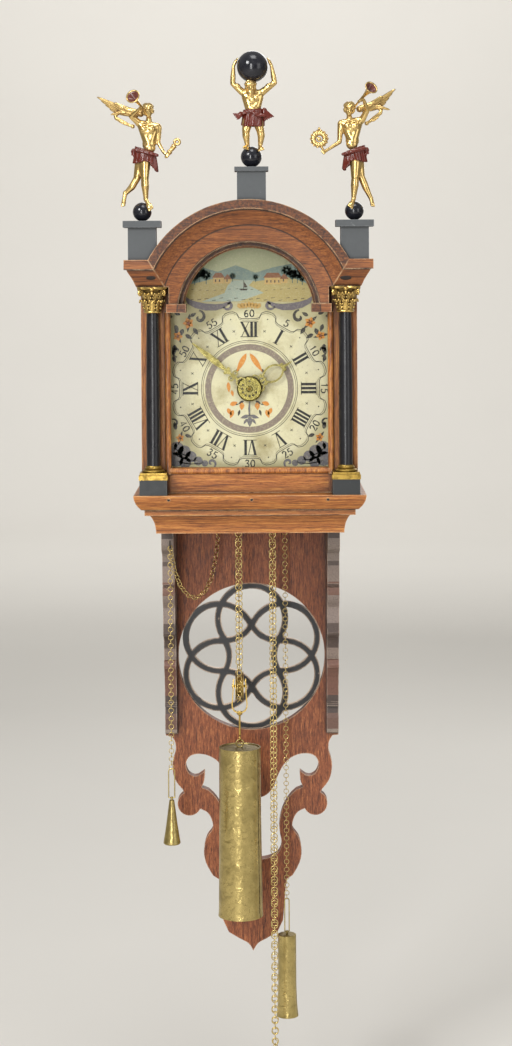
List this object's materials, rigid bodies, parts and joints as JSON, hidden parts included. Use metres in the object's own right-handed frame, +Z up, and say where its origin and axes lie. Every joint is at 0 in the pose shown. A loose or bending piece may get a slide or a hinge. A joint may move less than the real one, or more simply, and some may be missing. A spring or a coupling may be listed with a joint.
{
  "type": "tail clock",
  "caption": "Weight-driven wall clock with a sliding arched hood, painted dial, scrolled tail, chains and brass weights.",
  "frame": {"origin": "centre of the wall-hook hole at the hanging plate's back face, in the wall plane", "axes": "+X to the right seen from the front, +Y towards the wall, +Z up; the dial faces -Y"},
  "size_m": [0.358, 0.2348, 1.2827],
  "materials": {
    "pine_tail": "worn reddish-brown varnish",
    "oak_base": "golden-brown waxed oak",
    "oak_hood": "reddish-brown varnished oak",
    "bracket_wood": "grey-brown worn paint",
    "black_paint": "matt black paint over wood",
    "slate_paint": "slate grey paint",
    "ebonised": "worn ebonised polish",
    "green_black": "dark green-black paint",
    "gilding": "gold leaf over gesso",
    "black_gloss": "glossy near-black paint",
    "brass": "aged brass",
    "weight_brass": "dented sheet brass",
    "chain_brass": "drawn brass wire",
    "iron": "forged iron",
    "dial_paint": "cream paint",
    "bell_metal": "bell metal",
    "clear_glass": "window glass"
  },
  "bodies": {
    "case": {"backboard": "pine_tail", "tail_board": "pine_tail", "rosette_tracery": "black_paint", "hanging_plate": "iron", "brackets": "bracket_wood", "seat_board": "oak_base", "base_moulding": "oak_base", "moulding_pegs": "black_paint", "chain_hook": "iron", "movement_plates": "brass", "movement_pillars": "brass", "train_bars": "brass", "dial_plate": "dial_paint", "bell": "bell_metal", "bell_stand": "iron", "sprocket_chains": "chain_brass", "alarm_loop_chain": "chain_brass"},
    "hood": {"hood_front": "oak_hood", "hood_sides": "oak_hood", "hood_roof": "oak_hood", "arch_moulding": "oak_hood", "ledge_mouldings": "oak_hood", "front_glass": "clear_glass", "side_glass": "clear_glass", "columns": "ebonised", "capitals": "gilding", "column_bases": "brass", "plinths": "green_black", "pedestals": "slate_paint", "finial_balls": "black_gloss", "globe_bearer": "gilding", "globe": "black_gloss", "herald_left": "gilding", "herald_right": "gilding"},
    "going_great": {"going_great_wheel": "brass"},
    "minute": {"centre_wheel": "brass", "minute_hand": "brass"},
    "escape": {"escape_wheel": "brass"},
    "motion": {"minute_wheel": "brass"},
    "hour": {"hour_wheel": "brass", "hour_hand": "brass"},
    "alarm_disc": {"alarm_disc": "brass"},
    "pendulum": {"anchor": "iron", "pendulum": "brass"},
    "strike_great": {"strike_great_wheel": "brass"},
    "pin": {"pin_wheel": "brass"},
    "fly": {"fly": "brass"},
    "hammer": {"strike_hammer": "iron"},
    "main_weight": {"weight_chains": "chain_brass", "pulley_block": "brass", "main_weight": "weight_brass"},
    "pulley_wheel": {"pulley_wheel": "brass"},
    "ring_weight": {"tail_chains": "chain_brass", "ring_weight": "iron"},
    "alarm_wheel": {"alarm_wheel": "brass"},
    "alarm_weight": {"alarm_chain": "chain_brass", "alarm_weight": "weight_brass"},
    "counterweight": {"counter_chain": "chain_brass", "counterweight": "weight_brass"}
  },
  "joints": [
    {"name": "hood_slide", "type": "slide", "parent": "case", "child": "hood", "axis": [0, -1, 0], "range_m": [0, 0.2]},
    {"name": "minute_hand_turn", "type": "hinge", "parent": "case", "child": "minute", "pos_m": [0, -0.13, -0.1915], "axis": [0, 1, 0], "continuous": true},
    {"name": "hour_hand_turn", "type": "hinge", "parent": "case", "child": "hour", "pos_m": [0, -0.14, -0.1915], "axis": [0, 1, 0], "continuous": true},
    {"name": "minute_wheel_turn", "type": "hinge", "parent": "case", "child": "motion", "pos_m": [0, -0.132, -0.2131], "axis": [0, 1, 0], "continuous": true},
    {"name": "going_great_turn", "type": "hinge", "parent": "case", "child": "going_great", "pos_m": [0.006, -0.105, -0.24], "axis": [0, 1, 0], "continuous": true},
    {"name": "escape_wheel_turn", "type": "hinge", "parent": "case", "child": "escape", "pos_m": [0, -0.105, -0.1595], "axis": [0, 1, 0], "continuous": true},
    {"name": "alarm_disc_set", "type": "hinge", "parent": "hour", "child": "alarm_disc", "pos_m": [0, -0.1467, -0.1915], "axis": [0, 1, 0], "continuous": true},
    {"name": "pendulum_swing", "type": "hinge", "parent": "case", "child": "pendulum", "pos_m": [0, -0.04, -0.1385], "axis": [0, 1, 0], "range_deg": [-4, 4]},
    {"name": "pin_wheel_turn", "type": "hinge", "parent": "case", "child": "pin", "pos_m": [0, -0.07, -0.1915], "axis": [0, 1, 0], "continuous": true},
    {"name": "strike_great_turn", "type": "hinge", "parent": "case", "child": "strike_great", "pos_m": [0.006, -0.071, -0.24], "axis": [0, 1, 0], "continuous": true},
    {"name": "fly_turn", "type": "hinge", "parent": "case", "child": "fly", "pos_m": [0, -0.07, -0.1595], "axis": [0, 1, 0], "continuous": true},
    {"name": "hammer_swing", "type": "hinge", "parent": "case", "child": "hammer", "pos_m": [-0.058, -0.066, -0.2], "axis": [0, 0, 1], "range_deg": [-22, 0], "stiffness_Nm_per_rad": 0.05},
    {"name": "main_weight_drop", "type": "slide", "parent": "case", "child": "main_weight", "axis": [0, 0, -1], "range_m": [0, 0.06], "deforming": ["weight_chains"]},
    {"name": "pulley_turn", "type": "hinge", "parent": "main_weight", "child": "pulley_wheel", "pos_m": [-0.015, -0.088, -0.565], "axis": [1, 0, 0], "continuous": true},
    {"name": "ring_weight_rise", "type": "slide", "parent": "case", "child": "ring_weight", "axis": [0, 0, 1], "range_m": [0, 0.06], "deforming": ["tail_chains"]},
    {"name": "alarm_weight_drop", "type": "slide", "parent": "case", "child": "alarm_weight", "axis": [0, 0, -1], "range_m": [0, 0.05], "deforming": ["alarm_chain"]},
    {"name": "alarm_wheel_turn", "type": "hinge", "parent": "case", "child": "alarm_wheel", "pos_m": [0.022, -0.042, -0.24], "axis": [0, 1, 0], "range_deg": [-2, 140]},
    {"name": "counterweight_swing", "type": "hinge", "parent": "case", "child": "counterweight", "pos_m": [-0.099, -0.116, -0.388], "axis": [0, 1, 0], "range_deg": [-6, 6]}
  ],
  "couplings": [
    {"joint": "hour_hand_turn", "follows": "minute_hand_turn", "ratio": 0.083333},
    {"joint": "minute_wheel_turn", "follows": "minute_hand_turn", "ratio": -0.33333},
    {"joint": "going_great_turn", "follows": "minute_hand_turn", "ratio": -0.16667},
    {"joint": "escape_wheel_turn", "follows": "minute_hand_turn", "ratio": -6.75},
    {"joint": "strike_great_turn", "follows": "pin_wheel_turn", "ratio": -0.16667},
    {"joint": "fly_turn", "follows": "pin_wheel_turn", "ratio": -6.75},
    {"joint": "ring_weight_rise", "follows": "main_weight_drop", "ratio": 1},
    {"joint": "alarm_wheel_turn", "follows": "alarm_weight_drop", "rad_per_m": 47.619}
  ]
}
